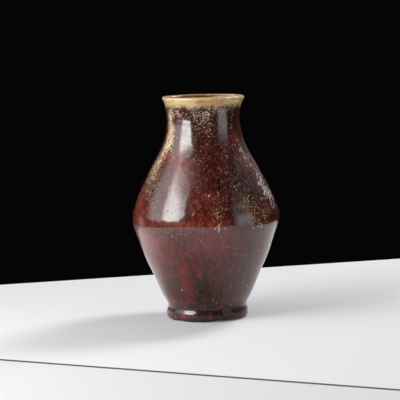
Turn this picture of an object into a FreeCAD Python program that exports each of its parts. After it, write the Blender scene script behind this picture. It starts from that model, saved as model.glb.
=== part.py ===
import FreeCAD, Part

import os

import Sketcher

# A stoneware baluster vase, standing on its foot with +Z up.
# The origin is the centre of the foot's standing face.
# The clay was thrown in sections and luted together with slip: a foot ring, a lower body with
# its floor, a shoulder and a neck. Glaze coats lie on the clay: a red one outside, a pale one
# over the lip, a liner inside and a thin one in the foot's well.
# Each piece is one half section, sketched on the XZ plane and turned about Z.

# Driving dimensions in millimetres, of the fired clay. Each stretch of the profile has its own
# height, and the heights add up from the standing face.
DRIVING_SIZES = [
    ("stand_radius", 34.2, "outer edge of the flat face that the vase stands on"),
    ("stand_chamfer", 0.8, "chamfer on the inner edge of the standing face"),
    ("ring_wall", 6.4, "foot ring from its bore to the outer edge of the standing face"),
    ("wipe_width", 0.9, "wiped edge of the foot ring, outwards from the standing face"),
    ("wipe_height", 0.8, "height of the wiped edge, up to the line where the glaze begins"),
    ("roll_bulge", 1.6, "how far the foot's rounded roll stands out past the standing face"),
    ("waist_depth", 1.2, "how far the waist above the roll goes back in"),
    ("foot_height", 11.2, "standing face to the waist, where the foot ring is luted on"),
    ("lower_height", 79.2, "waist to the ridge of the belly, where the two cones are luted"),
    ("shoulder_height", 69.6, "ridge to the seam of the neck"),
    ("neck_height", 27.6, "seam of the neck to the line where the lip's pale glaze begins"),
    ("lip_height", 11.55, "that line to the top of the lip"),
    ("ridge_radius", 65.15, "widest part of the belly"),
    ("neck_radius", 32.65, "neck at the line where the lip's glaze begins"),
    ("seam_flare", 2.95, "how much wider the neck is at its seam"),
    ("lip_flare", 3.55, "how much wider the lip is than the neck"),
    ("lip_wall", 2.9, "thickness of the lip"),
    ("neck_wall", 4.2, "wall of the neck"),
    ("body_wall", 5.2, "wall of the lower body and shoulder"),
    ("floor_wall", 8.0, "thickness of the floor"),
    ("well_height", 5.0, "height of the floor's underside above the standing face"),
    ("corner_inset", 0.7, "inside of the wall, where its rounded corner ends, in from the waist"),
    ("corner_height", 8.0, "height of that corner above the floor inside"),
    ("corner_width", 15.9, "width of that corner, from the flat of the floor outwards"),
    ("slip", 0.8, "thickness of the slip in each luted seam"),
    ("bevel", 2.0, "fall of each bevelled seam from its outside to its inside"),
    ("shoulder_leg", 9.6, "how far the shoulder runs straight below the neck seam"),
    ("neck_leg", 6.8, "how far the neck runs straight above its seam"),
    ("band_leg", 4.0, "how far the neck runs straight below the lip's glaze line"),
    ("lip_leg", 2.6, "how far the lip runs straight above that line"),
    ("glaze", 0.8, "thickness of the red glaze outside"),
    ("lip_glaze", 0.6, "thickness of the pale glaze on the lip"),
    ("liner_glaze", 0.5, "thickness of the glaze inside"),
    ("well_glaze", 0.4, "thickness of the glaze in the foot's well"),
]

# Control points between two ends, each as its share of the way outwards and of the way up.
ROLL_SHARES = [(0.0, 0.0), (0.90, 0.07), (1.43, 0.28), (1.43, 0.72)]
ROLL_TOP_SHARE = 0.88
LOWER_WALL_SHARES = [
    (0.0, 0.0),
    (0.0, 0.03),
    (0.18, 0.12),
    (0.47, 0.42),
    (0.81, 0.66),
    (1.0, 0.97),
    (1.0, 1.0),
]
LOWER_INSIDE_SHARES = [(0.0, 0.0), (0.12, 0.10), (0.42, 0.36), (0.79, 0.62), (1.0, 0.96), (1.0, 1.0)]
SHOULDER_SHARES = [(0.0, 0.0), (0.0, 0.05), (0.13, 0.25), (0.39, 0.48), (0.65, 0.70)]
NECK_SHARES = [(1.22, 0.55)]
LIP_OUTSIDE_SHARES = [(0.42, 0.58), (1.03, 0.88), (1.06, 1.03)]
LIP_INSIDE_SHARES = [(0.98, 1.03), (1.0, 0.86), (0.42, 0.54)]
# Radius lost per height at the neck seam, and gained at the line where the lip's glaze begins.
SEAM_LEAN_SHARE = 0.36
BAND_LEAN_SHARE = 0.17


def size(name):
    return "sizes." + name


def plus(text, change):
    """An expression with a change added to it, where there is one."""
    return text if change in ("0", "-(0)") else f"{text} + ({change})"


def moved(point, outwards="0", upwards="0"):
    return (plus(point[0], outwards), plus(point[1], upwards))


def between(start, end, share):
    """The point that lies at a share of the way outwards and a share of the way up."""
    ends = {0.0: start, 1.0: end}
    return tuple(
        ends[s][axis] if s in ends else f"({start[axis]}) + {s} * (({end[axis]}) - ({start[axis]}))"
        for axis, s in enumerate(share)
    )


def leaning(point, lean_share, leg):
    """A point up a straight leg from this one, which gains lean_share of radius per height."""
    return moved(point, f"{lean_share} * ({leg})", leg)


def make_sheet(doc):
    sheet = doc.addObject("Spreadsheet::Sheet", "sizes")
    for row, (name, value, note) in enumerate(DRIVING_SIZES, start=1):
        sheet.set(f"A{row}", name)
        sheet.set(f"B{row}", str(value))
        sheet.set(f"C{row}", note)
        sheet.setAlias(f"B{row}", name)
    doc.recompute()


# Radii and heights on the clay, as expressions on the sheet

HALF_SLIP = f"{size('slip')} / 2"
RING_BORE = f"{size('stand_radius')} - {size('ring_wall')}"
SPIGOT_RADIUS = f"{RING_BORE} - {size('slip')}"
ROLL_RADIUS = f"{size('stand_radius')} + {size('roll_bulge')}"
WAIST_RADIUS = f"{ROLL_RADIUS} - {size('waist_depth')}"
RING_TOP = f"{size('foot_height')} - {HALF_SLIP}"
BODY_FOOT = f"{size('foot_height')} + {HALF_SLIP}"
RIDGE_HEIGHT = f"{size('foot_height')} + {size('lower_height')}"
NECK_SEAM_HEIGHT = f"{RIDGE_HEIGHT} + {size('shoulder_height')}"
BAND_HEIGHT = f"{NECK_SEAM_HEIGHT} + {size('neck_height')}"
FLOOR_HEIGHT = f"{size('well_height')} + {size('floor_wall')}"
WALL_START_RADIUS = f"{WAIST_RADIUS} - {size('corner_inset')}"

# Places on the clay, each a pair of a radius and a height

WELL_MIDDLE = ("0", size("well_height"))
SPIGOT_FOOT = (SPIGOT_RADIUS, size("well_height"))
STAND_EDGE = (size("stand_radius"), "0")
GLAZE_LINE = (f"{size('stand_radius')} + {size('wipe_width')}", size("wipe_height"))
RING_WAIST = (WAIST_RADIUS, RING_TOP)
BODY_WAIST = (WAIST_RADIUS, BODY_FOOT)
BELOW_RIDGE = (size("ridge_radius"), f"{RIDGE_HEIGHT} - {HALF_SLIP}")
ABOVE_RIDGE = moved(BELOW_RIDGE, upwards=size("slip"))
NECK_SEAM = (f"{size('neck_radius')} + {size('seam_flare')}", NECK_SEAM_HEIGHT)
BELOW_NECK_SEAM = leaning(NECK_SEAM, -SEAM_LEAN_SHARE, f"-{HALF_SLIP}")
ABOVE_NECK_SEAM = leaning(NECK_SEAM, -SEAM_LEAN_SHARE, HALF_SLIP)
BAND = (size("neck_radius"), BAND_HEIGHT)
LIP = moved(BAND, size("lip_flare"), size("lip_height"))

FLOOR_MIDDLE = ("0", FLOOR_HEIGHT)
FLOOR_EDGE = (f"{WALL_START_RADIUS} - {size('corner_width')}", FLOOR_HEIGHT)
WALL_START = (WALL_START_RADIUS, f"{FLOOR_HEIGHT} + {size('corner_height')}")
INSIDE_BELOW_RIDGE = moved(BELOW_RIDGE, f"-{size('body_wall')}", f"-{size('bevel')}")
INSIDE_ABOVE_RIDGE = moved(ABOVE_RIDGE, f"-{size('body_wall')}", f"-{size('bevel')}")
INSIDE_BELOW_NECK_SEAM = moved(
    leaning(BELOW_NECK_SEAM, -SEAM_LEAN_SHARE, f"-{size('bevel')}"), f"-{size('neck_wall')}"
)
INSIDE_ABOVE_NECK_SEAM = moved(
    leaning(ABOVE_NECK_SEAM, -SEAM_LEAN_SHARE, f"-{size('bevel')}"), f"-{size('neck_wall')}"
)
INSIDE_BAND = moved(BAND, f"-{size('neck_wall')}")
INSIDE_LIP = moved(LIP, f"-{size('lip_wall')}")


# Stretches of the clay's two faces. Each is a list of control points, from the foot upwards.


def roll_curve():
    crest = (ROLL_RADIUS, RING_TOP)
    poles = [between(GLAZE_LINE, crest, share) for share in ROLL_SHARES]
    under_waist = (WAIST_RADIUS, between(GLAZE_LINE, RING_WAIST, (1.0, ROLL_TOP_SHARE))[1])
    return poles + [under_waist, RING_WAIST]


def lower_wall_curve():
    return [between(BODY_WAIST, BELOW_RIDGE, share) for share in LOWER_WALL_SHARES]


def shoulder_curve(start, end):
    poles = [between(start, end, share) for share in SHOULDER_SHARES]
    return poles + [leaning(end, -SEAM_LEAN_SHARE, f"-{size('shoulder_leg')}"), end]


def neck_curve(start, end):
    return [
        start,
        leaning(start, -SEAM_LEAN_SHARE, size("neck_leg")),
        *[between(start, end, share) for share in NECK_SHARES],
        leaning(end, BAND_LEAN_SHARE, f"-{size('band_leg')}"),
        end,
    ]


def floor_corner_curve():
    """A bend that leaves the floor flat and meets the wall along its own first leg."""
    first_leg = between(WALL_START, INSIDE_BELOW_RIDGE, LOWER_INSIDE_SHARES[1])
    lean = f"(({first_leg[0]}) - ({WALL_START[0]})) / (({first_leg[1]}) - ({WALL_START[1]}))"
    corner = (f"{WALL_START_RADIUS} - {lean} * {size('corner_height')}", FLOOR_HEIGHT)
    return [FLOOR_EDGE, corner, WALL_START]


def lower_inside_curve():
    return [between(WALL_START, INSIDE_BELOW_RIDGE, share) for share in LOWER_INSIDE_SHARES]


def lip_curve(outside="0", top="0", inside="0", band="0", inside_band="0"):
    """Over the lip from its outer foot to its inner foot, with a coat of the given thicknesses."""
    foot, inner_foot = moved(BAND, band), moved(INSIDE_BAND, f"-({inside_band})")
    over = [between(BAND, LIP, share) for share in LIP_OUTSIDE_SHARES]
    back = [between(INSIDE_BAND, INSIDE_LIP, share) for share in LIP_INSIDE_SHARES]
    return [
        foot,
        leaning(foot, BAND_LEAN_SHARE, size("lip_leg")),
        moved(over[0], outside),
        moved(over[1], outside),
        moved(over[2], outside, top),
        moved(back[0], f"-({inside})", top),
        moved(back[1], f"-({inside})"),
        moved(back[2], f"-({inside})"),
        leaning(inner_foot, BAND_LEAN_SHARE, size("lip_leg")),
        inner_foot,
    ]


def outer_face(coat="0"):
    """The clay's outer face from the glaze line to the lip's band, moved outwards by a coat."""
    stretches = [
        ("curve", roll_curve()),
        ("line", [RING_WAIST, BODY_WAIST]),
        ("curve", lower_wall_curve()),
        ("line", [BELOW_RIDGE, ABOVE_RIDGE]),
        ("curve", shoulder_curve(ABOVE_RIDGE, BELOW_NECK_SEAM)),
        ("line", [BELOW_NECK_SEAM, ABOVE_NECK_SEAM]),
        ("curve", neck_curve(ABOVE_NECK_SEAM, BAND)),
    ]
    return [(kind, [moved(p, coat) for p in points]) for kind, points in stretches]


def inner_face(coat="0"):
    """The clay's inner face from the middle of the floor to the lip, with a coat laid on it."""
    inwards = f"-({coat})"
    edge, corner, wall = floor_corner_curve()
    floor = [
        ("line", [moved(p, upwards=coat) for p in (FLOOR_MIDDLE, FLOOR_EDGE)]),
        ("curve", [moved(edge, upwards=coat), moved(corner, inwards, coat), moved(wall, inwards)]),
    ]
    walls = [
        ("curve", lower_inside_curve()),
        ("line", [INSIDE_BELOW_RIDGE, INSIDE_ABOVE_RIDGE]),
        ("curve", shoulder_curve(INSIDE_ABOVE_RIDGE, INSIDE_BELOW_NECK_SEAM)),
        ("line", [INSIDE_BELOW_NECK_SEAM, INSIDE_ABOVE_NECK_SEAM]),
        ("curve", neck_curve(INSIDE_ABOVE_NECK_SEAM, INSIDE_BAND)),
    ]
    return floor + [(kind, [moved(p, inwards) for p in points]) for kind, points in walls]


def backwards(stretches):
    return [(kind, points[::-1]) for kind, points in reversed(stretches)]


def joined(*stretches):
    """Closes an outline: a line is put in wherever one stretch ends away from the next one's start."""
    outline = []
    for kind, points in stretches:
        if outline and outline[-1][1][-1] != points[0]:
            outline.append(("line", [outline[-1][1][-1], points[0]]))
        outline.append((kind, points))
    if outline[-1][1][-1] != outline[0][1][0]:
        outline.append(("line", [outline[-1][1][-1], outline[0][1][0]]))
    return outline


# Sketching and turning


class HalfSection:
    """A closed sketch on a body's XZ plane. Its points are held by expressions on the sheet."""

    def __init__(self, body):
        self.sketch = body.newObject("Sketcher::SketchObject", "half_section")
        planes = {feature.Role: feature for feature in body.Origin.OriginFeatures}
        self.sketch.AttachmentSupport = [(planes["XZ_Plane"], "")]
        self.sketch.MapMode = "FlatFace"
        self.ties = []

    def place(self, point):
        return FreeCAD.Vector(*[float(self.sketch.evalExpression(text)) for text in point], 0.0)

    def tie(self, *constraint, text=None):
        self.ties.append((Sketcher.Constraint(*constraint), text))

    def hold(self, geometry, end, point):
        """Ties one end of a line, or the centre of a control circle, to a point's two expressions."""
        place = self.place(point)
        for kind, axis, value, text in (
            ("DistanceX", -2, place.x, point[0]),
            ("DistanceY", -1, place.y, point[1]),
        ):
            if abs(value) < Part.Precision.confusion():
                self.tie("PointOnObject", geometry, end, axis)
            else:
                self.tie(kind, -1, 1, geometry, end, value, text=text)

    def add_line(self, points):
        line = Part.LineSegment(*[self.place(p) for p in points])
        index = self.sketch.addGeometry(line, False)
        self.hold(index, 1, points[0])
        self.hold(index, 2, points[1])

    def add_curve(self, points):
        """A B-spline whose control points are the given ones."""
        poles = [self.place(p) for p in points]
        degree = min(3, len(poles) - 1)
        square = FreeCAD.Vector(0, 0, 1)
        circles = [self.sketch.addGeometry(Part.Circle(pole, square, 1.0), True) for pole in poles]
        curve = Part.BSplineCurve(poles, None, None, False, degree, None, False)
        spline = self.sketch.addGeometry(curve, False)
        self.tie("Weight", circles[0], 1.0)
        for number, circle in enumerate(circles):
            if number:
                self.tie("Equal", circles[0], circle)
            self.tie("InternalAlignment:Sketcher::BSplineControlPoint", circle, 3, spline, number)
            self.hold(circle, 3, points[number])

    def bind(self):
        """Puts every constraint in place at once, then ties each size to its expression."""
        indices = self.sketch.addConstraint([constraint for constraint, _ in self.ties])
        for index, (_, text) in zip(indices, self.ties):
            if text is not None:
                self.sketch.setExpression(f"Constraints[{index}]", text)


def turn(doc, name, outline):
    """A body turned from one closed half section."""
    body = doc.addObject("PartDesign::Body", name)
    body.Label = name
    section = HalfSection(body)
    for kind, points in outline:
        if kind == "line":
            section.add_line(points)
        else:
            section.add_curve(points)
    section.bind()
    turned = body.newObject("PartDesign::Revolution", "turned")
    turned.Profile = section.sketch
    turned.ReferenceAxis = (section.sketch, ["V_Axis"])
    turned.Angle = 360.0
    section.sketch.Visibility = False
    return body


# The pieces


def make_foot_ring(doc):
    chamfer = size("stand_chamfer")
    return turn(
        doc,
        "foot_ring",
        joined(
            ("line", [(f"{RING_BORE} + {chamfer}", "0"), STAND_EDGE]),
            ("line", [STAND_EDGE, GLAZE_LINE]),
            ("curve", roll_curve()),
            ("line", [RING_WAIST, (RING_BORE, RING_TOP)]),
            ("line", [(RING_BORE, RING_TOP), (RING_BORE, chamfer)]),
        ),
    )


def make_foot_slip(doc):
    return turn(
        doc,
        "foot_luting_slip",
        joined(
            ("line", [SPIGOT_FOOT, (RING_BORE, size("well_height"))]),
            ("line", [(RING_BORE, size("well_height")), (RING_BORE, RING_TOP)]),
            ("line", [(RING_BORE, RING_TOP), RING_WAIST]),
            ("line", [RING_WAIST, BODY_WAIST]),
            ("line", [BODY_WAIST, (SPIGOT_RADIUS, BODY_FOOT)]),
        ),
    )


def make_lower_body(doc):
    spigot_root = (SPIGOT_RADIUS, BODY_FOOT)
    inside = inner_face()[:3]
    return turn(
        doc,
        "lower_body",
        joined(
            ("line", [WELL_MIDDLE, SPIGOT_FOOT]),
            ("line", [SPIGOT_FOOT, spigot_root]),
            ("line", [spigot_root, BODY_WAIST]),
            ("curve", lower_wall_curve()),
            *backwards(inside),
        ),
    )


def make_seam(doc, name, outside, inside):
    """A bevelled ring of slip between two sections."""
    return turn(doc, name, joined(("line", list(outside)), ("line", list(inside)[::-1])))


def make_shoulder(doc):
    return turn(
        doc,
        "shoulder",
        joined(
            ("curve", shoulder_curve(ABOVE_RIDGE, BELOW_NECK_SEAM)),
            ("curve", shoulder_curve(INSIDE_ABOVE_RIDGE, INSIDE_BELOW_NECK_SEAM)[::-1]),
        ),
    )


def make_neck(doc):
    return turn(
        doc,
        "neck",
        joined(
            ("curve", neck_curve(ABOVE_NECK_SEAM, BAND)),
            ("curve", lip_curve()),
            ("curve", neck_curve(INSIDE_ABOVE_NECK_SEAM, INSIDE_BAND)[::-1]),
        ),
    )


def make_outer_glaze(doc):
    return turn(doc, "outer_glaze", joined(*outer_face(size("glaze")), *backwards(outer_face())))


def make_lip_glaze(doc):
    coat = lip_curve(
        outside=size("lip_glaze"),
        top=size("lip_glaze"),
        inside=size("lip_glaze"),
        band=size("glaze"),
        inside_band=size("liner_glaze"),
    )
    return turn(doc, "lip_glaze", joined(("curve", coat), ("curve", lip_curve()[::-1])))


def make_liner_glaze(doc):
    return turn(doc, "liner_glaze", joined(*inner_face(), *backwards(inner_face(size("liner_glaze")))))


def make_well_glaze(doc):
    under = f"{size('well_height')} - {size('well_glaze')}"
    return turn(
        doc,
        "well_glaze",
        joined(
            ("line", [("0", under), (RING_BORE, under)]),
            ("line", [(RING_BORE, size("well_height")), WELL_MIDDLE]),
        ),
    )


def check(doc, pieces):
    """Stops with a message if a feature failed or a piece isn't one sound solid."""
    for thing in doc.Objects:
        if {"Invalid", "Error"} & set(thing.State):
            raise RuntimeError(f"{thing.Label} failed: {thing.State}")
    for piece in pieces:
        shape = piece.Shape
        if shape.isNull() or not shape.isValid() or len(shape.Solids) != 1 or shape.Volume <= 0:
            raise RuntimeError(f"{piece.Label} isn't one valid solid")


def main():
    doc = FreeCAD.newDocument("vase")
    make_sheet(doc)
    pieces = [
        make_foot_ring(doc),
        make_foot_slip(doc),
        make_lower_body(doc),
        make_seam(
            doc,
            "belly_luting_slip",
            (BELOW_RIDGE, ABOVE_RIDGE),
            (INSIDE_BELOW_RIDGE, INSIDE_ABOVE_RIDGE),
        ),
        make_shoulder(doc),
        make_seam(
            doc,
            "neck_luting_slip",
            (BELOW_NECK_SEAM, ABOVE_NECK_SEAM),
            (INSIDE_BELOW_NECK_SEAM, INSIDE_ABOVE_NECK_SEAM),
        ),
        make_neck(doc),
        make_outer_glaze(doc),
        make_lip_glaze(doc),
        make_liner_glaze(doc),
        make_well_glaze(doc),
    ]
    doc.recompute()
    check(doc, pieces)
    os.makedirs("parts", exist_ok=True)
    for piece in pieces:
        piece.Shape.exportStep(f"parts/{piece.Label}.step")
        box = piece.Shape.BoundBox
        print(
            f"{piece.Label:20s} {piece.Shape.Volume / 1000:8.2f} cm3"
            f"  radius {box.XMax:6.2f}  z {box.ZMin:6.2f} to {box.ZMax:6.2f}"
        )


main()
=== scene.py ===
# Looks of a glazed stoneware vase on a pale board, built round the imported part.
import math

import bmesh
import bpy
import numpy as np
from mathutils import Matrix, Vector


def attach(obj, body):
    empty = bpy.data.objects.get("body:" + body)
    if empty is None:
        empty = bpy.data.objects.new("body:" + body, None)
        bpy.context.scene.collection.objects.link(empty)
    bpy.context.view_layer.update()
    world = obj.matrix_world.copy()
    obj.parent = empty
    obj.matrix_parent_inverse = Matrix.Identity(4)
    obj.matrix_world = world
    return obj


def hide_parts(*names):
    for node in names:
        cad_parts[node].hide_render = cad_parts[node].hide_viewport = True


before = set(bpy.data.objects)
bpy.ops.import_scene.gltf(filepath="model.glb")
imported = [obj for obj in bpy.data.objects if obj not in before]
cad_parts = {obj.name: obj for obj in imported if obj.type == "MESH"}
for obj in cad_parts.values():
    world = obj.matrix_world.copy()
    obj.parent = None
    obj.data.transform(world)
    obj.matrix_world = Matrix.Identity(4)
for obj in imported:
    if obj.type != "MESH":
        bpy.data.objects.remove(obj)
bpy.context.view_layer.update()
millimetre = 0.001
print("frame loaded:", len(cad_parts), "nodes")

# camera: lengths in millimetres, angles in radians
camera = {
    "place": (-4.615, -1480.9, 263.24),
    "pitch": 0.106,  # down from level
    "roll": 0.023,
    "lens": 148.71,
    "sensor": 36.0,
}


def addCamera(setup):
    # right stays level, forward is pitched down, then both are rolled about forward
    pitch, roll = setup["pitch"], setup["roll"]
    right = Vector((1, 0, 0))
    forward = Vector((0, math.cos(pitch), -math.sin(pitch)))
    up = right.cross(forward)
    across = math.cos(roll) * right - math.sin(roll) * up
    upwards = math.sin(roll) * right + math.cos(roll) * up
    data = bpy.data.cameras.new("camera")
    data.lens = setup["lens"]
    data.sensor_width = setup["sensor"]
    made = bpy.data.objects.new("camera", data)
    bpy.context.scene.collection.objects.link(made)
    turn = Matrix((across, upwards, -forward)).transposed().to_4x4()
    made.matrix_world = Matrix.Translation(Vector(setup["place"]) * millimetre) @ turn
    bpy.context.scene.camera = made


addCamera(camera)
bpy.context.scene.view_settings.view_transform = "Standard"
print("camera placed")


# node materials
def calculation(operation, swapped=False):
    def combine(self, other):
        first, second = (other, self) if swapped else (self, other)
        return self.finish.node("ShaderNodeMath", {"operation": operation}, {0: first, 1: second})

    return combine


class Wire:
    # one output socket; arithmetic on it adds Math nodes
    def __init__(self, finish, socket):
        self.finish = finish
        self.socket = socket

    __add__ = __radd__ = calculation("ADD")
    __mul__ = __rmul__ = calculation("MULTIPLY")
    __sub__ = calculation("SUBTRACT")
    __rsub__ = calculation("SUBTRACT", swapped=True)
    __truediv__ = calculation("DIVIDE")


class Finish:
    # one node tree under construction
    def __init__(self, tree):
        self.nodes = tree.nodes
        self.links = tree.links
        self.nodes.clear()

    def node(self, kind, settings=None, values=None, output=0):
        made = self.nodes.new(kind)
        for name, value in (settings or {}).items():
            if name == "stops":
                stops = made.color_ramp.elements
                while len(stops) < len(value):
                    stops.new(0.5)
                for stop, (place, colour) in zip(stops, value):
                    stop.position = place
                    stop.color = (*colour, 1)
            else:
                setattr(made, name, value)
        for name, value in (values or {}).items():
            if isinstance(value, Wire):
                self.links.new(value.socket, made.inputs[name])
            else:
                made.inputs[name].default_value = value
        return Wire(self, made.outputs[output]) if made.outputs else made

    def place(self, scale=(1, 1, 1), shift=(0, 0, 0)):
        # object coordinates, stretched by scale
        here = self.node("ShaderNodeTexCoord", output="Object")
        return self.node("ShaderNodeMapping", None, {"Vector": here, "Location": shift, "Scale": scale})

    def noise(self, size, stretch=1.0, detail=2.0, roughness=0.5, swirl=0.0, shift=0.0, deep=1.0):
        # size is the pattern's width in millimetres; stretch makes it that much taller than wide,
        # deep that much longer from front to back
        where = self.place((1, 1 / deep, 1 / stretch), (shift, 0, shift))
        sockets = {"Vector": where, "Scale": 1 / (size * millimetre), "Detail": detail}
        sockets["Roughness"] = roughness
        sockets["Distortion"] = swirl
        return self.node("ShaderNodeTexNoise", None, sockets)

    def cells(self, size, output="Distance"):
        sockets = {"Vector": self.place(), "Scale": 1 / (size * millimetre)}
        return self.node("ShaderNodeTexVoronoi", None, sockets, output)

    def attribute(self, name):
        return self.node("ShaderNodeAttribute", {"attribute_name": name}, None, "Fac")

    def rise(self, value, low, high):
        # 0 below low, 1 above high, with a smooth step between
        sockets = {"Value": value, "From Min": low, "From Max": high}
        return self.node("ShaderNodeMapRange", {"interpolation_type": "SMOOTHSTEP"}, sockets)

    def blend(self, base, layer, share):
        colours = {}
        for index, colour in ((6, base), (7, layer)):
            colours[index] = colour if isinstance(colour, Wire) else (*colour, 1)
        return self.node("ShaderNodeMix", {"data_type": "RGBA"}, {0: share, **colours}, 2)

    def ramp(self, value, stops):
        return self.node("ShaderNodeValToRGB", {"stops": stops}, {"Fac": value})

    def surface(self, values):
        shader = self.node("ShaderNodeBsdfPrincipled", None, values)
        self.node("ShaderNodeOutputMaterial", None, {"Surface": shader})


def newMaterial(name):
    material = bpy.data.materials.new(name)
    material.use_nodes = True
    return material, Finish(material.node_tree)


# board: a pale flat board; a joint between two boards runs across it in front of the vase
board = {
    "corners": [(-330, -430), (330, -430), (330, 363.7), (-330, 176.2)],
    "level": -0.03,  # just under the standing face, so that the two never coincide
    "clearRadius": 33.8,  # within the standing face
    "clearEdge": 0.1,
    "colour": (0.795, 0.795, 0.812),
    # the board in front of the joint: its own tone, set darker with painted shade that evens out the
    # stronger lamp light near the front
    "frontColourAndShade": (0.735, 0.731, 0.725),
    "grainColour": (0.75, 0.75, 0.76),
    "grainWidth": 0.9,
    "grainShare": 0.08,
    "joint": ((-167.4, -179.2), (135.2, -321.2)),
    "jointWidth": 4.7,
    "jointFade": (0.5, 1.5),  # where the joint's colour fades out, in half widths from its line
    "boardEdge": 0.2,
    "jointColour": (0.09, 0.06, 0.045),
}


def boardPaint(setup):
    material, finish = newMaterial("board paint")
    here = finish.place()
    # distance from the joint's line, positive behind it
    (x1, y1), (x2, y2) = (np.array(point) * millimetre for point in setup["joint"])
    length = math.hypot(x2 - x1, y2 - y1)
    acrossJoint = (-(y2 - y1) / length, (x2 - x1) / length, 0)
    offset = -(acrossJoint[0] * x1 + acrossJoint[1] * y1)
    across = finish.node(
        "ShaderNodeVectorMath", {"operation": "DOT_PRODUCT"}, {0: here, 1: acrossJoint}, "Value"
    )
    away = (across + offset) / millimetre
    behind = finish.rise(away, -setup["boardEdge"], setup["boardEdge"])
    fadeFrom, fadeTo = (share * setup["jointWidth"] / 2 for share in setup["jointFade"])
    near = 1 - finish.rise(away * away, fadeFrom ** 2, fadeTo ** 2)
    # the board in front of the joint takes its own tone darkened with painted shade
    colour = finish.blend(setup["frontColourAndShade"], setup["colour"], behind)
    colour = finish.blend(colour, setup["jointColour"], near)
    grain = finish.rise(finish.noise(setup["grainWidth"]), 0.5, 0.7)
    colour = finish.blend(colour, setup["grainColour"], setup["grainShare"] * grain)
    paint = finish.node(
        "ShaderNodeBsdfPrincipled",
        None,
        {"Base Color": colour, "Roughness": 0.75, "Specular IOR Level": 0.25},
    )
    # from below, and right under the foot, the board is clear, so the foot can be looked at
    below = finish.node("ShaderNodeNewGeometry", output="Backfacing")
    fromAxis = finish.node("ShaderNodeVectorMath", {"operation": "LENGTH"}, {0: here}, "Value")
    clearFrom = setup["clearRadius"] - setup["clearEdge"]
    underFoot = 1 - finish.rise(fromAxis / millimetre, clearFrom, setup["clearRadius"])
    hidden = 1 - (1 - below) * (1 - underFoot)
    clear = finish.node("ShaderNodeBsdfTransparent")
    both = finish.node("ShaderNodeMixShader", None, {0: hidden, 1: paint, 2: clear})
    finish.node("ShaderNodeOutputMaterial", None, {"Surface": both})
    return material


def addBoard(setup):
    corners = np.array(setup["corners"]) * millimetre
    points = [(x, y, setup["level"] * millimetre) for x, y in corners]
    mesh = bpy.data.meshes.new("board")
    mesh.from_pydata(points, [], [tuple(range(len(points)))])
    mesh.materials.append(boardPaint(setup))
    made = bpy.data.objects.new("board", mesh)
    bpy.context.scene.collection.objects.link(made)


addBoard(board)

# lamps: directions are seen from the vase, azimuth 0 towards the camera and positive to the right;
# brightness is the panel's radiance, where 1 shows as white; fade is where it starts and ends on
# the way up, and the share left at the end; sides are the places across it where it is
# dark, full, still full and dark again
lamps = {
    "keyPanel": {
        "azimuths": (-77, -36.5), "elevations": (3.4, 46), "height": 120, "distance": 900,
        "brightness": 8.5, "fade": (0.65, 0.91, 0.2), "sides": (0.0, 0.3, 0.935, 1.0),
    },
    "leftPanel": {
        "azimuths": (-122, -67), "elevations": (2, 50), "height": 120, "distance": 1700,
        "brightness": 1.85, "fade": (0.5, 1.0, 0.38), "sides": (0.08, 0.62, 0.88, 1.0),
    },
    "sidePanel": {
        "azimuths": (-130, -106), "elevations": (-14, 1), "height": 120, "distance": 1500,
        "brightness": 0.8, "sides": (0.0, 0.45, 0.55, 1.0),
    },
    "rightPanel": {
        "azimuths": (41, 80), "elevations": (-26, 31), "height": 180, "distance": 900,
        "brightness": 1.25, "fade": (0.55, 1.0, 0.1), "sides": (0.06, 0.26, 0.85, 1.0),
    },
    "backPanel": {
        "azimuths": (148, 166), "elevations": (5, 22), "height": 110, "distance": 1500,
        "brightness": 0.25,
    },
    "hairLamp": {
        "azimuths": (120, 142), "elevations": (36, 58), "height": 60, "distance": 1400,
        "brightness": 18.0,
    },
}
room = {"seen": (0.0015, 0.0015, 0.0018), "ambient": (0.215, 0.215, 0.22)}


def shadePanel(data, fade, sides):
    # the share of full strength over the panel's face
    data.use_nodes = True
    finish = Finish(data.node_tree)
    across = finish.node("ShaderNodeNewGeometry", output="Parametric")
    strength = 1.0
    if fade:
        start, end, left = fade
        upwards = finish.node("ShaderNodeSeparateXYZ", None, {0: across}, 1)
        strength = 1 - (1 - left) * finish.rise(upwards, start, end)
    if sides:
        sideways = finish.node("ShaderNodeSeparateXYZ", None, {0: across}, 0)
        leftDark, leftFull, rightFull, rightDark = sides
        strength = strength * finish.rise(sideways, leftDark, leftFull)
        strength = strength * (1 - finish.rise(sideways, rightFull, rightDark))
    glow = finish.node("ShaderNodeEmission", None, {"Strength": strength})
    finish.node("ShaderNodeOutputLight", None, {"Surface": glow})


def addPanel(name, setup):
    # an area lamp square on to the vase, wide enough for its azimuths and elevations;
    # energy is pi times area times radiance
    azimuth = math.radians(sum(setup["azimuths"]) / 2)
    elevation = math.radians(sum(setup["elevations"]) / 2)
    halfTurn = math.radians(setup["azimuths"][1] - setup["azimuths"][0]) / 2
    halfRise = math.radians(setup["elevations"][1] - setup["elevations"][0]) / 2
    distance = setup["distance"] * millimetre
    towards = Vector((
        math.sin(azimuth) * math.cos(elevation),
        -math.cos(azimuth) * math.cos(elevation),
        math.sin(elevation),
    ))
    data = bpy.data.lights.new(name, "AREA")
    data.shape = "RECTANGLE"
    data.size = 2 * distance * math.cos(elevation) * math.tan(halfTurn)
    data.size_y = 2 * distance * math.tan(halfRise)
    data.energy = math.pi * data.size * data.size_y * setup["brightness"]
    fade, sides = setup.get("fade"), setup.get("sides")
    if fade or sides:
        shadePanel(data, fade, sides)
    made = bpy.data.objects.new(name, data)
    bpy.context.scene.collection.objects.link(made)
    made.location = Vector((0, 0, setup["height"] * millimetre)) + distance * towards
    made.rotation_euler = towards.to_track_quat("Z", "Y").to_euler()
    made.visible_camera = False


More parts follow.
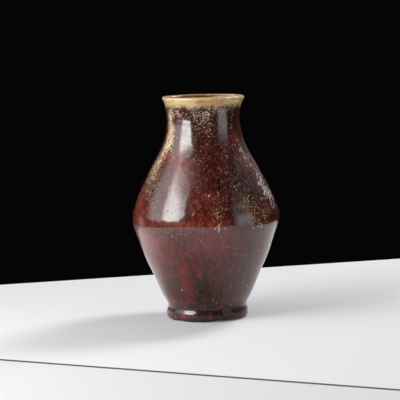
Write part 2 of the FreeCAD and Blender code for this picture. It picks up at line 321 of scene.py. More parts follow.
def addRoom(setup):
    # dark to the eye and in reflections, with a plain soft light on the surfaces
    world = bpy.data.worlds.new("room")
    bpy.context.scene.world = world
    world.use_nodes = True
    finish = Finish(world.node_tree)
    path = finish.node("ShaderNodeLightPath", output="Is Camera Ray")
    gloss = finish.node("ShaderNodeLightPath", output="Is Glossy Ray")
    through = finish.node("ShaderNodeLightPath", output="Is Transmission Ray")
    seen = finish.rise(path + gloss + through, 0, 1)
    colour = finish.blend(setup["ambient"], setup["seen"], seen)
    glow = finish.node("ShaderNodeBackground", None, {"Color": colour})
    finish.node("ShaderNodeOutputWorld", None, {"Surface": glow})


for name, setup in lamps.items():
    addPanel(name, setup)
addRoom(room)
print("board, lamps and room made")

# glaze coats: outlines of the fired surface as (radius, height) in millimetres; step is the space
# between the fired side's rows, depth is the coat's thickness, and the clay side has one row to
# every skip rows of the fired side
outside = {
    "outline": [
        (35.9, 0.8), (36.53, 2.0), (36.84, 4.38), (36.79, 6.38), (36.27, 8.3), (35.49, 10.09),
        (35.55, 12.64), (37.34, 16.5), (41.18, 23.51), (44.97, 31.97), (49.35, 42.26),
        (58.21, 61.78), (63.21, 77.28), (64.9, 82.6), (65.95, 89.1), (65.44, 94.8), (63.38, 102.6),
        (58.16, 116.02), (54.94, 122.79), (47.68, 136.9), (39.86, 151.46), (36.54, 159.6),
        (33.39, 171.7), (32.93, 178.1), (32.93, 182.46), (33.45, 187.6),
    ],
    "step": 1.1,
    "depth": 0.8,
    "skip": 6,
    "closed": True,
}
lip = {
    "outline": [
        (33.45, 187.6), (34.29, 191.82), (35.03, 194.22), (35.93, 196.21), (36.6, 197.68),
        (36.8, 199.0), (36.56, 199.48), (36.04, 199.81), (34.58, 199.99), (33.06, 199.43),
        (32.73, 198.85), (32.36, 197.71), (31.14, 195.46), (29.35, 192.29), (28.23, 188.96),
        (27.95, 187.6),
    ],
    "step": 0.45,
    "depth": 0.6,
    "skip": 3,
    "closed": True,
}
inside = {
    "outline": [
        (27.95, 187.6), (27.43, 182.52), (27.91, 172.24), (33.96, 151.89), (42.99, 133.49),
        (51.65, 115.1), (57.1, 100.36), (58.47, 95.27), (59.39, 90.04), (58.99, 84.63),
        (56.01, 72.55), (52.06, 60.82), (44.37, 44.43), (39.54, 34.29), (36.11, 26.86),
        (33.4, 21.0), (30.56, 17.27), (24.14, 14.14), (18.0, 13.5), (0.0, 13.5),
    ],
    "step": 1.6,
    "depth": 0.5,
    "skip": 6,
    "closed": False,  # both faces end on the axis
}
# how the thrown form strays from true: a swelling is (height, half height, amount), a wave is
# (width, seed, depth), a spot is (angle, height, half width in degrees, half height, amount),
# and a reach is (where nothing shows, where all of it shows)
thrown = {
    "segments": 360,
    "lean": [(0, 12, -0.25), (95, 15, 0.4), (150, 19, -0.3), (203, 10, 0.6)],
    "girth": [(18, 9, 0.2), (64, 12, -0.38), (90, 6, 0.3), (152, 15, -0.3)],
    "girthReach": (0, 10),
    "ridge": [(96.8, 3.5, 0.35)],
    "oval": 0.1,
    "ovalTurn": 0.7,
    "ovalReach": (0, 60),
    "ringPitch": 5.3,
    "ringDepth": 0.02,
    "ringWander": 0.8,
    "ringShare": 0.6,
    "ringFading": [(90, 3, 0.4)],
    "axisReach": (0, 8),
    "ripples": [(17, 5, 0.028), (6, 7, 0.015)],
    "unevenSpots": [(66, 122, 24, 26, 1), (34, 104, 16, 14, 0.5), (-70, 140, 16, 22, 0.5)],
    "unevenRipples": [(6.5, 11, 0.09), (3.4, 13, 0.05)],
    "footEdge": [(21, 17, 0.3), (7, 19, 0.2)],  # how the glaze's lower edge strays up and down
    "footReach": (6.5, 1.5),
    "rimWaves": [(30, 23, 0.06)],
    "rimChips": [(172, 200, 2.2, 6, 0.54), (158, 200, 3, 6, 0.27)],
    "rimReach": (193, 199),
    "rimDrop": 0.85,
    "dropReach": (186, 198),
}


def smoothLine(knots, step):
    # natural cubic spline through the knots by chord length, then points at even steps
    knots = np.array(knots, float)
    along = np.r_[0, np.cumsum(np.hypot(*np.diff(knots, axis=0).T))]
    gap = np.diff(along)
    count = len(knots)
    system = np.eye(count)
    target = np.zeros((count, 2))
    for i in range(1, count - 1):
        system[i, i - 1:i + 2] = gap[i - 1], 2 * (gap[i - 1] + gap[i]), gap[i]
        rises = (knots[i + 1] - knots[i]) / gap[i] - (knots[i] - knots[i - 1]) / gap[i - 1]
        target[i] = 6 * rises
    bend = np.linalg.solve(system, target)
    where = np.linspace(0, along[-1], int(round(along[-1] / step)) + 1)
    left = np.clip(np.searchsorted(along, where) - 1, 0, count - 2)
    h = gap[left][:, None]
    t = (where - along[left])[:, None]
    u = h - t
    curve = (bend[left] * u**3 + bend[left + 1] * t**3) / (6 * h)
    curve += (knots[left] / h - bend[left] * h / 6) * u
    return curve + (knots[left + 1] / h - bend[left + 1] * h / 6) * t


def outlineNormals(line):
    # the line's direction turned a quarter turn clockwise
    slope = np.gradient(line, axis=0)
    slope /= np.hypot(*slope.T)[:, None]
    return np.stack([slope[:, 1], -slope[:, 0]], 1)


def between(value, reach):
    # 0 at the first number of reach, 1 at the second, straight between them and level beyond
    none, full = reach
    return np.clip((value - none) / (full - none), 0, 1)


def ripple(points, width, seed, waves=14):
    # sum of sine waves in seeded random directions, each about width long; runs from about -1 to 1
    source = np.random.default_rng(seed)
    total = np.zeros(len(points))
    for _ in range(waves):
        heading = source.normal(size=3)
        heading /= np.linalg.norm(heading)
        number = 2 * math.pi / (width * source.uniform(0.75, 1.4))
        total += np.sin(points @ heading * number + source.uniform(0, 2 * math.pi))
    return total / math.sqrt(waves)


def ripples(points, waves):
    # several ripples added up, each to its own depth
    return sum(depth * ripple(points, width, seed) for width, seed, depth in waves)


def nearness(angle, height, spots):
    # each spot's share falls off as exp(-(distance / half width) squared), and the shares add up
    total = np.zeros(len(angle))
    for spotAngle, spotHeight, halfWidth, halfHeight, amount in spots:
        turn = (angle - spotAngle + 180) % 360 - 180
        total += amount * np.exp(-(turn / halfWidth) ** 2 - ((height - spotHeight) / halfHeight) ** 2)
    return total


def bands(height, swellings):
    # nearness by height alone
    return sum(amount * np.exp(-((height - middle) / half) ** 2) for middle, half, amount in swellings)


def relief(points, angle):
    # how far the fired surface stands out: throwing rings, slow unevenness, ripples in the glaze
    height = points[:, 2]
    turn = np.radians(angle)
    wander = turn + thrown["ringWander"] * np.sin(2 * turn)
    rings = np.sin(2 * math.pi * height / thrown["ringPitch"] + wander)
    out = thrown["ringDepth"] * rings * (thrown["ringShare"] + ripples(points, thrown["ringFading"]))
    oval = np.cos(2 * turn + thrown["ovalTurn"])
    out += thrown["oval"] * oval * between(height, thrown["ovalReach"])
    out += ripples(points, thrown["ripples"])
    out += bands(height, thrown["ridge"])
    out += nearness(angle, height, thrown["unevenSpots"]) * ripples(points, thrown["unevenRipples"])
    out += bands(height, thrown["girth"]) * between(height, thrown["girthReach"])
    return out


def turnedShell(name, line, coat):
    # line turned round the axis is the fired face, pushed out by the relief;
    # its copy, one depth in towards the clay, closes the shell
    normals = outlineNormals(line)
    inwards = line - coat["depth"] * normals
    behind = inwards[::-1][::coat["skip"]]
    behind[-1] = inwards[0]
    if not coat["closed"]:
        behind[0] = line[-1] - (0, coat["depth"])
    outline = np.vstack([line, behind])
    facing = np.vstack([normals, np.zeros_like(behind)])
    count = thrown["segments"]
    radius = np.repeat(outline[:, 0], count)
    height = np.repeat(outline[:, 1], count)
    turns = np.tile(np.arange(count) * 2 * math.pi / count, len(outline))
    angle = np.degrees(turns)
    points = np.stack([radius * np.sin(turns), -radius * np.cos(turns), height], 1)
    fired = np.repeat(np.r_[np.ones(len(line)), np.zeros(len(behind))], count)
    out = relief(points, angle) * fired * between(radius, thrown["axisReach"])
    radius = radius + out * np.repeat(facing[:, 0], count)
    # the glaze's lower edge strays up and down, and so does the rim, by angle alone
    level = points * (1, 1, 0)
    upright = points[:, 2]
    stray = ripples(level, thrown["footEdge"]) * fired * between(upright, thrown["footReach"])
    wave = ripples(level, thrown["rimWaves"]) - nearness(angle, upright, thrown["rimChips"])
    height = height + out * np.repeat(facing[:, 1], count) + stray
    height = height + wave * between(upright, thrown["rimReach"])
    height = height - thrown["rimDrop"] * between(upright, thrown["dropReach"])
    lean = bands(upright, thrown["lean"])
    placed = np.stack([radius * np.sin(turns) + lean, -radius * np.cos(turns), height], 1)
    # quads between each row and the next
    rowCount = len(outline)
    row = np.arange(rowCount if coat["closed"] else rowCount - 1)[:, None] * count
    above = (row + count) % (rowCount * count)
    column = np.arange(count)[None]
    beside = (column + 1) % count
    corners = (row + column, row + beside, above + beside, above + column)
    quads = np.stack(np.broadcast_arrays(*corners), -1).reshape(-1, 4)
    mesh = bpy.data.meshes.new(name)
    mesh.from_pydata((placed * millimetre).tolist(), [], quads.tolist())
    return mesh, points, angle


def finishShell(mesh, name, slot, *nodes):
    shell = bmesh.new()
    shell.from_mesh(mesh)
    bmesh.ops.remove_doubles(shell, verts=shell.verts, dist=1e-7)
    bmesh.ops.recalc_face_normals(shell, faces=shell.faces)
    shell.to_mesh(mesh)
    shell.free()
    mesh.shade_smooth()
    mesh.set_sharp_from_angle(angle=math.radians(50))
    made = bpy.data.objects.new(name, mesh)
    bpy.context.scene.collection.objects.link(made)
    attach(made, "root")
    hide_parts(*nodes)
    return made


# where each colour gathers in the firing: spots as above, angle 0 towards the viewer and positive
# to the right
gathered = {
    "red": [
        (-72, 103, 18, 16, 0.36), (-57, 146, 9, 6, 0.5), (-6, 91, 30, 3.5, 0.36), (50, 160, 14, 7, 0.34),
        (-24, 36, 7, 26, 0.3), (-5, 20, 4, 12, 0.3), (-58, 72, 14, 18, 0.5), (10, 134, 22, 24, 0.1),
        (-35, 6, 6, 4, 0.55), (6, 5, 6, 3, 0.5), (-36, 144, 14, 12, 0.45), (50, 112, 18, 10, -0.15),
        (52, 98, 12, 8, 0.25), (-30, 14, 14, 4, -0.25), (0, 8.5, 400, 4.5, -0.45),
        (0, 1.0, 400, 2.6, -0.45), (40, 126, 18, 14, -0.15), (0, 182, 60, 8, -0.12),
        (4, 72, 30, 16, 0.32), (-40, 60, 8, 24, 0.2), (-6, 108, 14, 18, 0.24), (-3, 27, 11, 14, -0.4),
        (58, 180, 30, 15, -0.22), (-30, 106, 14, 18, 0.12), (120, 110, 22, 26, 0.35),
        (165, 60, 14, 30, 0.35), (-140, 120, 24, 20, 0.35), (-110, 40, 16, 26, 0.3),
    ],
    "ash": [
        (-36, 50, 10, 34, 0.35), (-18, 74, 12, 12, 0.3), (40, 36, 26, 40, 0.32), (56, 64, 22, 26, 0.3),
        (38, 126, 22, 24, 0.45), (-9, 126, 10, 9, 0.35), (62, 120, 16, 24, 0.35), (-30, 82, 18, 5, 0.2),
        (-10, 40, 6, 22, 0.12), (140, 70, 40, 40, 0.3), (-150, 60, 40, 40, 0.3), (-120, 130, 20, 20, 0.3),
    ],
    "ochre": [
        (31, 108, 10, 8, 0.12), (9, 101, 9, 13, 0.74), (38, 101, 11, 12, 0.6), (55, 98, 12, 10, 0.62),
        (44, 116, 14, 9, 0.4), (48, 178, 18, 13, 0.55), (-28, 81, 28, 8, 0.47), (26, 66, 9, 16, 0.34),
        (10, 190, 50, 6, 0.4), (110, 104, 24, 16, 0.6), (-160, 100, 24, 14, 0.55),
        (-110, 178, 20, 14, 0.45), (15, 125, 16, 20, 0.12), (-72, 108, 9, 12, 0.25),
    ],
    "cream": [
        (0, 186, 30, 6, 0.4), (3, 174, 20, 14, 0.58), (44, 189, 34, 4, 0.35), (-58, 161, 15, 14, 0.88),
        (-64, 180, 7, 9, 0.4), (-82, 173, 9, 9, -0.5), (-66, 138, 15, 20, 1.0), (-53, 161, 8, 7, 0.3),
        (-61, 176, 13, 12, 0.6), (-40, 183, 10, 8, 0.3), (-56, 187, 26, 5, 0.4), (10, 89, 8, 7, 0.72),
        (44, 89, 12, 6, 0.88), (-30, 88, 20, 4, 0.2), (-15, 140, 14, 24, 0.12), (-54, 112, 14, 16, 0.28),
        (58, 143, 10, 14, 0.4), (130, 176, 30, 18, 0.5), (180, 150, 16, 26, 0.5),
        (-130, 150, 20, 30, 0.55), (-100, 184, 30, 8, 0.5),
    ],
    "specks": [
        (-24, 80, 22, 7, 1.5), (20, 130, 42, 44, 1.0), (-28, 130, 14, 60, 0.25), (-66, 140, 18, 50, 0.8),
        (160, 130, 60, 60, 0.9), (-130, 110, 30, 60, 0.6),
    ],
    # frosted patches; those on the right shoulder also stand in for a patchy painted sheen
    "frost": [
        (58, 150, 12, 14, 0.5), (66, 126, 9, 14, 0.72), (76, 109, 9, 12, 0.74), (36, 124, 12, 8, 0.2),
        (64, 112, 8, 11, 0.4), (150, 120, 14, 16, 0.6), (-125, 96, 12, 10, 0.5),
    ],
    "runs": [
        (-54, 158, 18, 34, 0.45), (11, 88, 9, 7, 0.9), (45, 88, 18, 7, 0.9), (-30, 40, 20, 40, 0.6),
        (64, 130, 12, 20, 0.8), (-130, 150, 26, 40, 1.0), (180, 150, 20, 30, 1.0), (120, 90, 30, 10, 0.9),
    ],
    "lipTone": [
        (-3, 196.5, 7, 3, 0.9), (18, 195, 30, 12, 0.75), (60, 194, 26, 6, 0.3), (180, 197, 80, 14, 1.9),
        (-120, 196, 30, 12, 0.5),
    ],
}
# the rest of the paint; heights and radii in millimetres, spots, waves and reaches as above
paint = {
    "ridgeLine": 86.2,  # the lower wall's paint begins here
    "ridgeBlend": 1.2,
    "everywhere": {"red": 0.4, "cream": -0.19},
    "onLowerWall": {"red": -0.02, "ash": 0.1, "cream": -0.2},
    # painted sheen: where a pale reflection is painted on the lower wall and above the ridge
    "lowerPaintedSheen": [
        (76, 84, 16, 14, 1.3), (-72, 84, 16, 14, 0.7), (-60, 76, 14, 14, 0.5), (12, 4, 45, 2.5, 0.12),
    ],
    "upperPaintedSheen": [(-25, 133, 10, 16, 1.1), (-16, 134, 9, 14, 0.35), (60, 144, 12, 16, 0.7)],
    "dullBands": [(56, 32, 0.6), (22, 18, 0.64)],
    "dullFoot": [(2, 7, 0.6)],
    "glossGained": [(-26, 7.0, 13, 4.2, 0.6)],
    "glossLost": [
        (53, 99, 12, 12, 0.6), (60, 120, 14, 20, 0.25), (82, 158, 18, 14, 0.7), (-58, 92, 14, 7, 0.25),
        (42, 7, 22, 8, 0.9), (32, 89, 12, 4, 0.3), (-36, 113, 9, 8, 0.3), (-19, 124, 6, 13, 0.5),
        (-18.5, 105, 4, 13, 0.5), (-30, 102, 18, 14, 0.08), (-77, 104, 12, 13, 0.45),
        (-52, 20, 16, 13, 0.25),
    ],
    "glossLimits": (0.1, 1),
    "lipLine": 189.5,
    "lipBlend": 3,
    "lipWander": [(11, 31, 0.7), (4, 37, 0.4)],
    "lipDips": [(8, 188, 22, 9, 0.4)],
    # where the painted shade inside the opening begins: radii, height and reach
    "mouthRadius": (33.4, 33.0),
    "mouthFrom": 187.7,
    "mouthReach": (198.6, 197.7),
    "mouthWander": [(9, 43, 0.3)],
    "linerLine": 176,
    "linerBlend": 12,
    "linerWander": [(14, 41, 3)],
}


def outsideShares(points, angle):
    # how much of each layer shows at each vertex
    height = points[:, 2]
    shares = {name: nearness(angle, height, spots) for name, spots in gathered.items()}
    lower = 1 / (1 + np.exp((height - paint["ridgeLine"]) / paint["ridgeBlend"]))
    shares["lower"] = lower
    for name, amount in paint["everywhere"].items():
        shares[name] += amount
    for name, amount in paint["onLowerWall"].items():
        shares[name] += amount * lower
    # painted sheen: a pale pinkish reflection painted round the sides of the lower wall, stronger towards
    # the sides as seen from the front, and in a few places above the ridge
    sideways = np.sin(np.radians(angle)) ** 6
    shares["haze"] = lower * (sideways + nearness(angle, height, paint["lowerPaintedSheen"]))
    shares["haze"] += (1 - lower) * nearness(angle, height, paint["upperPaintedSheen"])
    # how much clear gloss the coat shows; it is thinner on the lower wall, front and back
    facing = np.cos(np.radians(angle)) ** 2
    dull = facing * bands(height, paint["dullBands"]) + bands(height, paint["dullFoot"])
    gloss = 1 - lower * dull + nearness(angle, height, paint["glossGained"])
    shares["gloss"] = np.clip(gloss - nearness(angle, height, paint["glossLost"]), *paint["glossLimits"])
    # the pale lip's ragged lower edge
    shares["lip"] = (height - paint["lipLine"] + ripples(points, paint["lipWander"])) / paint["lipBlend"]
    shares["lip"] -= nearness(angle, height, paint["lipDips"])
    # painted shade: inside the opening the glaze is painted dark just below the rim
    inwards = between(np.hypot(points[:, 0], points[:, 1]), paint["mouthRadius"])
    inwards *= height > paint["mouthFrom"]
    shares["mouth"] = inwards * between(height - ripples(points, paint["mouthWander"]), paint["mouthReach"])
    return shares


def linerShares(points, angle):
    # inside, the glaze is painted dark all over as shade, with a little of the lip's brown towards the top
    shares = outsideShares(points, angle)
    for name in shares.keys() - {"gloss"}:
        shares[name] = np.zeros(len(points))
    wander = ripples(points, paint["linerWander"])
    shares["lip"] = (points[:, 2] - paint["linerLine"] + wander) / paint["linerBlend"]
    shares["lipTone"] += 1
    shares["mouth"] += 1
    return shares


def paintShell(mesh, shares):
    # the shares as attributes of the mesh, one number at each vertex
    for name, values in shares.items():
        attribute = mesh.attributes.new(name, "FLOAT", "POINT")
        attribute.data.foreach_set("value", values.astype(np.float32))


outsideLine = smoothLine(outside["outline"], outside["step"])
lipLine = smoothLine(lip["outline"], lip["step"])
insideLine = smoothLine(inside["outline"], inside["step"])
print("outlines:", len(outsideLine), len(lipLine), len(insideLine))

mesh, points, angle = turnedShell("outer_coat", outsideLine, outside)
paintShell(mesh, outsideShares(points, angle))
outerCoat = finishShell(mesh, "outer_coat", "red_glaze", "outer_glaze")
mesh, points, angle = turnedShell("lip_coat", lipLine, lip)
paintShell(mesh, outsideShares(points, angle))
lipCoat = finishShell(mesh, "lip_coat", "cream_glaze", "lip_glaze")
mesh, points, angle = turnedShell("inner_coat", insideLine, inside)
paintShell(mesh, linerShares(points, angle))
innerCoat = finishShell(mesh, "inner_coat", "liner_glaze", "liner_glaze")
print("glaze coats made")

# patterns in the glaze, as noise takes them: (size, stretch, detail, roughness, swirl, shift, deep)
patterns = {
    "patches": (11, 1.5, 3, 0.6),
    "grain": (1.5, 1.3, 2, 0.65, 0.3),
    "fine": (0.8, 1, 1),
    "streaks": (2.2, 9, 3, 0.6, 0.2),
    "broadStreaks": (5.5, 4, 3, 0.55, 0.3, 4.9),
    "fibres": (1.3, 6, 3, 0.7, 0.3, 2.9),
    "clouds": (4.6, 1.5, 3, 0.65, 0.5, 7.7),
    "worms": (1.7, 1.2, 2, 0.7, 1.8),
    "broadWorms": (2.4, 1.2, 2, 0.7, 1.6, 8.3, 1.5),
    "drips": (2.5, 1.5, 3, 0.75, 0.9, 3.7, 3.0),
    "ashes": (4.2, 2.2, 3, 0.65, 0.4, 9.1),
    "frosting": (1.8, 2, 3, 0.75, 0.5, 5.9, 2.4),
    "oilSpots": (1.2, 1.2, 1, 0.5, 0.8, 5.3),
    "contours": (3.2, 1.4, 1, 0.5, 1.2, 6.1),
    "blotches": (3.1, 0.8, 3, 0.65, 0.5, 4.4),
    "dimples": (3.4, 1, 2),
}
# layers in the glaze: weights say how much each pattern adds, counted from its middle, edge the
# sums at which the layer begins and is full, and strength its share of the colour there
layers = {
    "red": {
        "weights": {"patches": 0.9, "grain": 0.7, "clouds": 1.3, "streaks": 0.6},
        "stops": [
            (0.0, (0.012, 0.004, 0.004)), (0.24, (0.027, 0.005, 0.004)), (0.46, (0.06, 0.008, 0.005)),
            (0.66, (0.112, 0.013, 0.009)), (0.84, (0.175, 0.022, 0.012)), (1.0, (0.25, 0.04, 0.015)),
        ],
    },
    "crimson": {
        "weights": {"broadStreaks": 1.2, "streaks": 0.6, "fibres": 1.1, "grain": 0.9, "clouds": 0.8},
        "stops": [
            (0.0, (0.014, 0.006, 0.005)), (0.26, (0.04, 0.008, 0.006)), (0.46, (0.09, 0.01, 0.008)),
            (0.64, (0.145, 0.012, 0.012)), (0.82, (0.185, 0.016, 0.018)), (1.0, (0.21, 0.024, 0.026)),
        ],
    },
    "freckles": {
        "weights": {"fine": 1, "patches": 0.4}, "edge": (0.04, 0.14),
        "colour": (0.014, 0.008, 0.006), "strength": 0.65,
    },
    "ash": {
        "weights": {"ashes": 1.8, "grain": 1.4}, "edge": (0.3, 0.6),
        "colour": (0.085, 0.054, 0.053), "strength": 0.75,
    },
    "lowerAsh": {
        "weights": {"ashes": 0.9, "fibres": 3.0}, "edge": (0.2, 0.7),
        "colour": (0.042, 0.031, 0.013),
    },
    "ashTurning": {"weights": {"patches": 1}, "edge": (-0.05, 0.15), "lower": 0.14},
    # painted sheen: a pale pinkish reflection laid over the glaze's colour
    "haze": {"colour": (0.32, 0.17, 0.16), "strength": 0.4},
    # frosted patches, partly a painted patchy sheen on the right shoulder
    "frost": {
        "weights": {"frosting": 4.0, "clouds": 1.0}, "edge": (0.62, 0.95),
        "colour": (0.68, 0.55, 0.5), "strength": 0.95,
    },
    "oil": {
        "weights": {"oilSpots": 1, "patches": 0.5}, "edge": (0.06, 0.16),
        "colour": (0.15, 0.06, 0.03), "strength": 0.3, "lower": -0.2,
    },
    "ochre": {
        "weights": {"broadWorms": 2.8}, "edge": (0.84, 1.0),
        "colour": (0.075, 0.03, 0.011), "strength": 0.9, "veins": (0.0002, 0.0022), "veinShare": 0.2,
    },
    "paleOchre": {
        "weights": {"grain": 1, "fine": 0.4}, "edge": (-0.04, 0.07),
        "colour": (0.78, 0.48, 0.18),
    },
    "cream": {
        "weights": {"fine": 1.0}, "edge": (0.72, 0.84), "drawn": 4.6, "runs": (0.1, 0.7),
        "colour": (0.9, 0.74, 0.58), "strength": 0.85,
    },
    "tanCream": {
        "weights": {"streaks": 1}, "edge": (-0.08, 0.07),
        "colour": (0.6, 0.38, 0.17), "strength": 0.9,
    },
    "specks": {
        "sizes": [(2.6, 0.55, 0.75), (1.6, 0.56, 0.55)],  # width, share left out, strength
        "choosing": 0.06, "reach": 0.26, "soft": 0.08, "lower": -0.62,
        "weights": {"patches": 1}, "edge": (-0.14, 0.1), "colour": (0.48, 0.32, 0.23),
    },
    "lip": {
        "weights": {"broadWorms": 2.6, "worms": 2.6, "fine": 1}, "edge": (0.0, 0.9),
        "colour": (0.62, 0.45, 0.2),
    },
    "ochreLip": {
        "weights": {"blotches": 1.6, "patches": 1.0}, "edge": (0.35, 0.95),
        "colour": (0.52, 0.24, 0.012),
    },
    "thinLip": {
        "weights": {"blotches": 2.4, "worms": 2.4}, "edge": (0.0, 0.6), "start": 0.8, "upwards": -0.45,
        "colour": (0.32, 0.22, 0.13), "strength": 0.75,
    },
    "brownLip": {
        "weights": {"blotches": 1}, "edge": (1.1, 1.6),
        "colour": (0.2, 0.085, 0.02), "strength": 0.9,
    },
    # painted highlight: a pale line along the lip's top edge
    "paintedLipHighlight": {
        "weights": {"blotches": 1}, "edge": (2.7, 3.05),
        "colour": (0.8, 0.64, 0.36), "strength": 0.6,
    },
    # painted shade inside the opening: a near-black colour laid over the glaze
    "mouth": {"colour": (0.05, 0.02, 0.008), "strength": 0.92},
    "pits": {
        "places": [(-31.1, 102.5, 0.8), (-26.7, 101.2, 0.6), (39.3, 123.5, 0.9), (-12, 60, 0.5)],
        "wall": 0.45,  # where the wall begins, as a share of the radius
        "colour": (0.03, 0.022, 0.018), "strength": 0.9,
    },
    # the surface: how much clear coat is lost, and how the roughness and the height vary
    "clearCoat": {
        "weights": {"clouds": 1, "grain": 0.8}, "edge": (-0.04, 0.16), "loss": 0.25, "lossInPits": 0.9,
    },
    "roughness": {"everywhere": 0.3, "cream": 0.12, "pits": 0.3},
    "height": {"weights": {"grain": 0.5, "dimples": 0.8}, "cream": 0.25, "pits": -2.5},
}


def mixed(pattern, layer, start=0.0):
    # start plus each pattern, counted from its middle, times its weight
    for name, weight in layer["weights"].items():
        start = start + (pattern[name] - 0.5) * weight
    return start


def cover(finish, pattern, name, start=0.0):
    # how far a layer covers, from 0 to 1
    return finish.rise(mixed(pattern, layers[name], start), *layers[name]["edge"])


def overlay(finish, colour, name, share):
    # a layer's own colour laid over another
    return finish.blend(colour, layers[name]["colour"], share * layers[name]["strength"])


def redGround(finish, pattern, lower):
    # copper red, hotter where more copper stayed reduced; below the ridge it lies in upright
    # crimson streaks between fibres; dark iron freckles show in both
    red = finish.attribute("red")
    above = finish.ramp(mixed(pattern, layers["red"], red), layers["red"]["stops"])
    below = finish.ramp(mixed(pattern, layers["crimson"], red), layers["crimson"]["stops"])
    colour = finish.blend(above, below, lower)
    return overlay(finish, colour, "freckles", cover(finish, pattern, "freckles"))


def ashFrostAndSheen(finish, pattern, lower, colour):
    # grey ash mottle above, olive fibres below; a painted sheen; frosted patches where the glaze boiled,
    # which on the right shoulder also stand in for a painted patchy sheen; thin brown oil spots everywhere
    ash = finish.attribute("ash")
    above = cover(finish, pattern, "ash", ash)
    below = cover(finish, pattern, "lowerAsh", ash)
    turned = cover(finish, pattern, "ashTurning", lower * layers["ashTurning"]["lower"])
    ashColour = finish.blend(layers["ash"]["colour"], layers["lowerAsh"]["colour"], turned)
    ashShare = (above + (below - above) * lower) * layers["ash"]["strength"]
    colour = finish.blend(colour, ashColour, ashShare)
    # painted sheen laid over the colour
    colour = overlay(finish, colour, "haze", finish.attribute("haze"))
    # frosted patches, partly a painted patchy sheen on the right shoulder
    frost = cover(finish, pattern, "frost", finish.attribute("frost"))
    colour = overlay(finish, colour, "frost", frost)
    oil = layers["oil"]
    oilShare = cover(finish, pattern, "oil") * (oil["strength"] + oil["lower"] * lower)
    return finish.blend(colour, oil["colour"], oilShare)


def ochreWorms(finish, pattern, colour):
    # blots, and veins where a slower pattern crosses its middle
    ochre = layers["ochre"]
    contour = pattern["contours"] - 0.5
    veins = 1 - finish.rise(contour * contour, *ochre["veins"])
    start = finish.attribute("ochre") + veins * ochre["veinShare"]
    pale = cover(finish, pattern, "paleOchre")
    ochreColour = finish.blend(ochre["colour"], layers["paleOchre"]["colour"], pale)
    share = cover(finish, pattern, "ochre", start) * ochre["strength"]
    return finish.blend(colour, ochreColour, share)


def creamSpeckle(finish, pattern, colour):
    # worms of cream, drawn out into drips where it ran; gives the cream's cover too
    cream = layers["cream"]
    running = finish.rise(finish.attribute("runs"), *cream["runs"])
    drawn = pattern["worms"] + (pattern["drips"] - pattern["worms"]) * running
    start = finish.attribute("cream") + (drawn - 0.5) * cream["drawn"]
    covered = cover(finish, pattern, "cream", start)
    tan = cover(finish, pattern, "tanCream")
    creamColour = overlay(finish, cream["colour"], "tanCream", tan)
    return finish.blend(colour, creamColour, covered * cream["strength"]), covered


def paleSpecks(finish, pattern, lower, colour):
    specks = layers["specks"]
    patchy = cover(finish, pattern, "specks")
    for size, leftOut, strength in specks["sizes"]:
        chosen = finish.rise(finish.cells(size, "Color"), leftOut, leftOut + specks["choosing"])
        dots = finish.rise(specks["reach"] - finish.cells(size), 0.0, specks["soft"]) * chosen
        share = dots * finish.attribute("specks") * (1 + lower * specks["lower"])
        colour = finish.blend(colour, specks["colour"], share * strength * patchy)
    return colour


def paleLip(finish, pattern, colour):
    # cream or ochre, with a painted highlight along its top edge, blotched where it thins out downwards;
    # brown inside, and painted shade inside the opening
    lipShare = finish.attribute("lip")
    tone = finish.attribute("lipTone")
    ochre = cover(finish, pattern, "ochreLip", tone)
    lipColour = finish.blend(layers["lip"]["colour"], layers["ochreLip"]["colour"], ochre)
    thinFrom = layers["thinLip"]["start"] + lipShare * layers["thinLip"]["upwards"]
    lipColour = overlay(finish, lipColour, "thinLip", cover(finish, pattern, "thinLip", thinFrom))
    brown = cover(finish, pattern, "brownLip", tone)
    lipColour = overlay(finish, lipColour, "brownLip", brown)
    # painted highlight along the lip's top edge, left off where it is brown
    bright = cover(finish, pattern, "paintedLipHighlight", lipShare) * (1 - brown)
    lipColour = overlay(finish, lipColour, "paintedLipHighlight", bright)
    colour = finish.blend(colour, lipColour, cover(finish, pattern, "lip", lipShare))
    # painted shade inside the opening
    return overlay(finish, colour, "mouth", finish.attribute("mouth"))


def pitShare(finish):
    # 1 inside each pit; a place is (angle, height, radius) on the outside's outline
    here = finish.place()
    share = 0.0
    for turn, high, wide in layers["pits"]["places"]:
        radius = np.interp(high, outsideLine[:, 1], outsideLine[:, 0])
        angle = math.radians(turn)
        centre = (radius * math.sin(angle), -radius * math.cos(angle), high)
        centre = tuple(value * millimetre for value in centre)
        away = finish.node("ShaderNodeVectorMath", {"operation": "DISTANCE"}, {0: here, 1: centre}, "Value")
        wide *= millimetre
        share = share + (1 - finish.rise(away, layers["pits"]["wall"] * wide, wide))
    return share


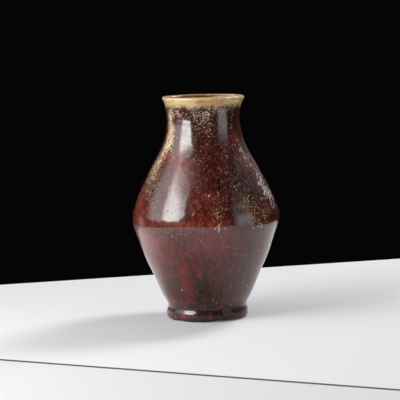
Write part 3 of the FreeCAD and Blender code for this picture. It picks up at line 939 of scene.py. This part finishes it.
def glazeMaterial():
    material, finish = newMaterial("copper red glaze")
    pattern = {name: finish.noise(*values) for name, values in patterns.items()}
    lower = finish.attribute("lower")
    colour = redGround(finish, pattern, lower)
    colour = ashFrostAndSheen(finish, pattern, lower, colour)
    colour = ochreWorms(finish, pattern, colour)
    colour, cream = creamSpeckle(finish, pattern, colour)
    colour = paleSpecks(finish, pattern, lower, colour)
    colour = paleLip(finish, pattern, colour)
    pits = pitShare(finish)
    colour = overlay(finish, colour, "pits", pits)
    roughness, height, clearCoat = (layers[name] for name in ("roughness", "height", "clearCoat"))
    rough = roughness["everywhere"] + roughness["cream"] * cream + roughness["pits"] * pits
    raised = mixed(pattern, height) + cream * height["cream"] + pits * height["pits"]
    shine = finish.attribute("gloss") * (1 - clearCoat["loss"] * cover(finish, pattern, "clearCoat"))
    shine = shine * (1 - clearCoat["lossInPits"] * pits)
    normal = finish.node("ShaderNodeBump", None, {"Strength": 0.45, "Distance": 0.0002, "Height": raised})
    finish.surface({
        "Base Color": colour, "Roughness": rough, "IOR": 1.5, "Specular IOR Level": 0.18,
        "Coat Weight": shine, "Coat IOR": 1.74, "Coat Roughness": 0.1, "Normal": normal,
    })
    return material


copperRed = glazeMaterial()
for piece in (outerCoat, lipCoat, innerCoat):
    piece.data.materials.append(copperRed)

# clays and the thin glaze under the floor: light and dark ground and grit, widths in millimetres
grounds = {
    "bare stoneware": {"light": (0.52, 0.41, 0.28), "dark": (0.36, 0.26, 0.17), "grit": (0.09, 0.05, 0.03)},
    "fired slip": {"light": (0.4, 0.31, 0.22), "dark": (0.28, 0.21, 0.14), "grit": (0.08, 0.05, 0.03)},
    "well glaze": {"light": (0.13, 0.055, 0.035), "dark": (0.05, 0.025, 0.02), "grit": (0.3, 0.2, 0.1)},
}
clay = {"patchWidth": 14, "grainWidth": 0.8, "gritSpacing": 2.2, "gritReach": 0.2, "gritShare": 0.7}


def clayMaterial(name):
    material, finish = newMaterial(name)
    ground = grounds[name]
    patches = finish.noise(clay["patchWidth"], detail=3)
    grain = finish.noise(clay["grainWidth"], roughness=0.7)
    pale = finish.rise(patches + (grain - 0.5) * 0.8, 0.3, 0.7)
    colour = finish.blend(ground["dark"], ground["light"], pale)
    grit = finish.rise(clay["gritReach"] - finish.cells(clay["gritSpacing"]), 0, 0.08)
    colour = finish.blend(colour, ground["grit"], grit * clay["gritShare"])
    normal = finish.node("ShaderNodeBump", None, {"Strength": 0.5, "Distance": 0.0003, "Height": grain})
    finish.surface({"Base Color": colour, "Roughness": 0.8 + 0.1 * (grain - 0.5), "Normal": normal})
    return material


stoneware = clayMaterial("bare stoneware")
slip = clayMaterial("fired slip")
wellGlaze = clayMaterial("well glaze")
for name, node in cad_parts.items():
    if node.hide_render:
        continue
    finish = wellGlaze if name == "well_glaze" else slip if name.endswith("slip") else stoneware
    node.data.materials.clear()
    node.data.materials.append(finish)
print("finishes made")
